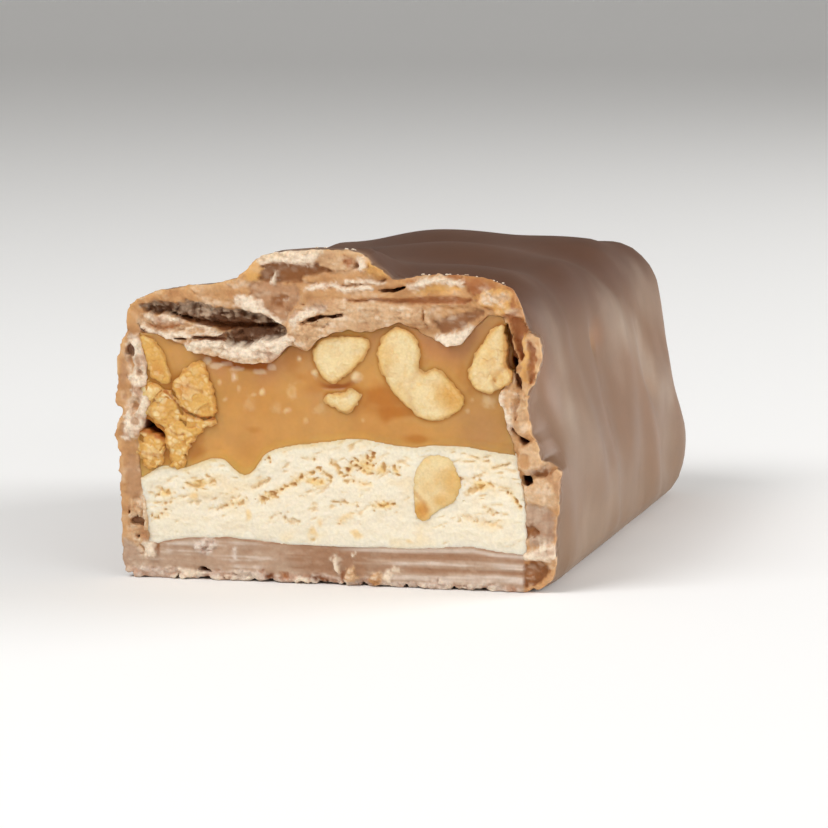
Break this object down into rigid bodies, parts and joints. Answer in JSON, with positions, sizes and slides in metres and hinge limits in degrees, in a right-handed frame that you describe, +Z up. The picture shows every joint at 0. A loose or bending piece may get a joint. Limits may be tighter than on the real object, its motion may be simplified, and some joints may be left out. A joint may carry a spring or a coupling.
{
  "type": "nougat bar",
  "caption": "Half of a milk-chocolate coated bar, cut across to show nougat below, caramel with peanuts above, and a broken, layered chocolate top.",
  "frame": {"origin": "middle of the base of the bounding box, on the surface the bar lies on", "axes": "+Z up, -Y out of the cut face, +Y towards the coated end, +X to the right of the cut face seen from in front"},
  "size_m": [0.0324, 0.0534, 0.0236],
  "materials": {
    "chocolate": "semi-gloss milk chocolate outside, crumbly and matt where broken",
    "nougat": "matt, finely torn pores",
    "caramel": "soft, translucent, faintly glossy",
    "peanut": "matt, cut and roasted"
  },
  "bodies": {
    "root": {"chocolate_coat": "chocolate", "nougat": "nougat", "caramel": "caramel", "peanut_left_sliver": "peanut", "peanut_left_fragment": "peanut", "peanut_left_upper": "peanut", "peanut_left_lower": "peanut", "peanut_left_crumb": "peanut", "peanut_round": "peanut", "peanut_chip": "peanut", "peanut_kidney": "peanut", "peanut_right": "peanut", "peanut_in_nougat": "peanut"}
  },
  "joints": []
}
